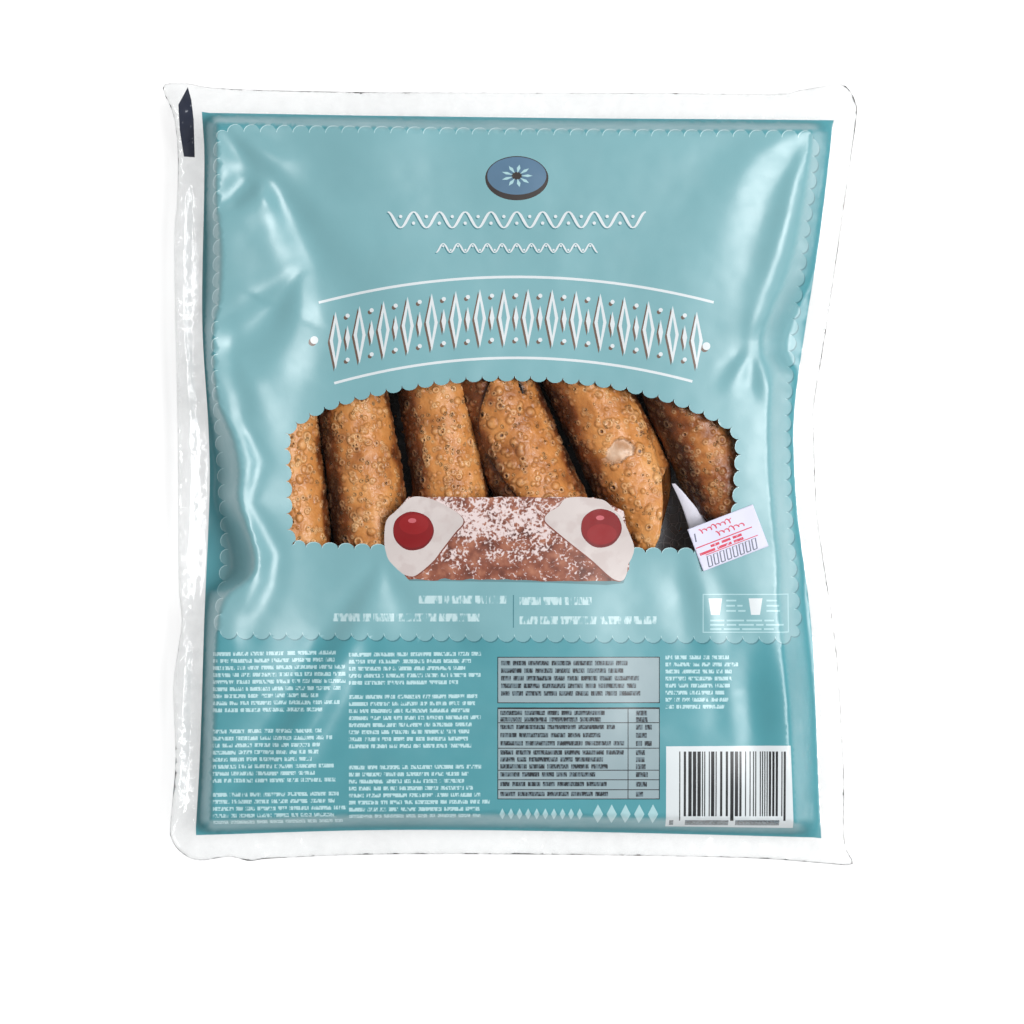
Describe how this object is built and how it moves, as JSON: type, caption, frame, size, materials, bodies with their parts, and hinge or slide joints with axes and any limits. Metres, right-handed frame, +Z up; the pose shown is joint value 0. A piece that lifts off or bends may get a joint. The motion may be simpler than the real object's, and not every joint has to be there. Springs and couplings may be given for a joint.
{
  "type": "sealed film pack of cannoli shells",
  "caption": "Flat pillow pack of small fried cannoli shells: printed front film with a scalloped window, clear heat-sealed flange all round and a small price label.",
  "frame": {"origin": "centre of the bounding box's bottom, where the pack lies on its flat underside", "axes": "+Z up out of the printed face, +Y towards the head of the pack, +X to the right of the printed face"},
  "size_m": [0.2031, 0.229, 0.0293],
  "materials": {
    "printed_film": "satin printed plastic film, aqua panel on a teal field",
    "clear_film": "clear glossy plastic film",
    "pastry": "fried, blistered golden-brown pastry",
    "tray_plastic": "thin dark formed plastic with scuffs",
    "label_paper": "matte white paper with red and grey print"
  },
  "bodies": {
    "root": {"pack_bag": "printed_film", "price_label": "label_paper"}
  },
  "joints": []
}
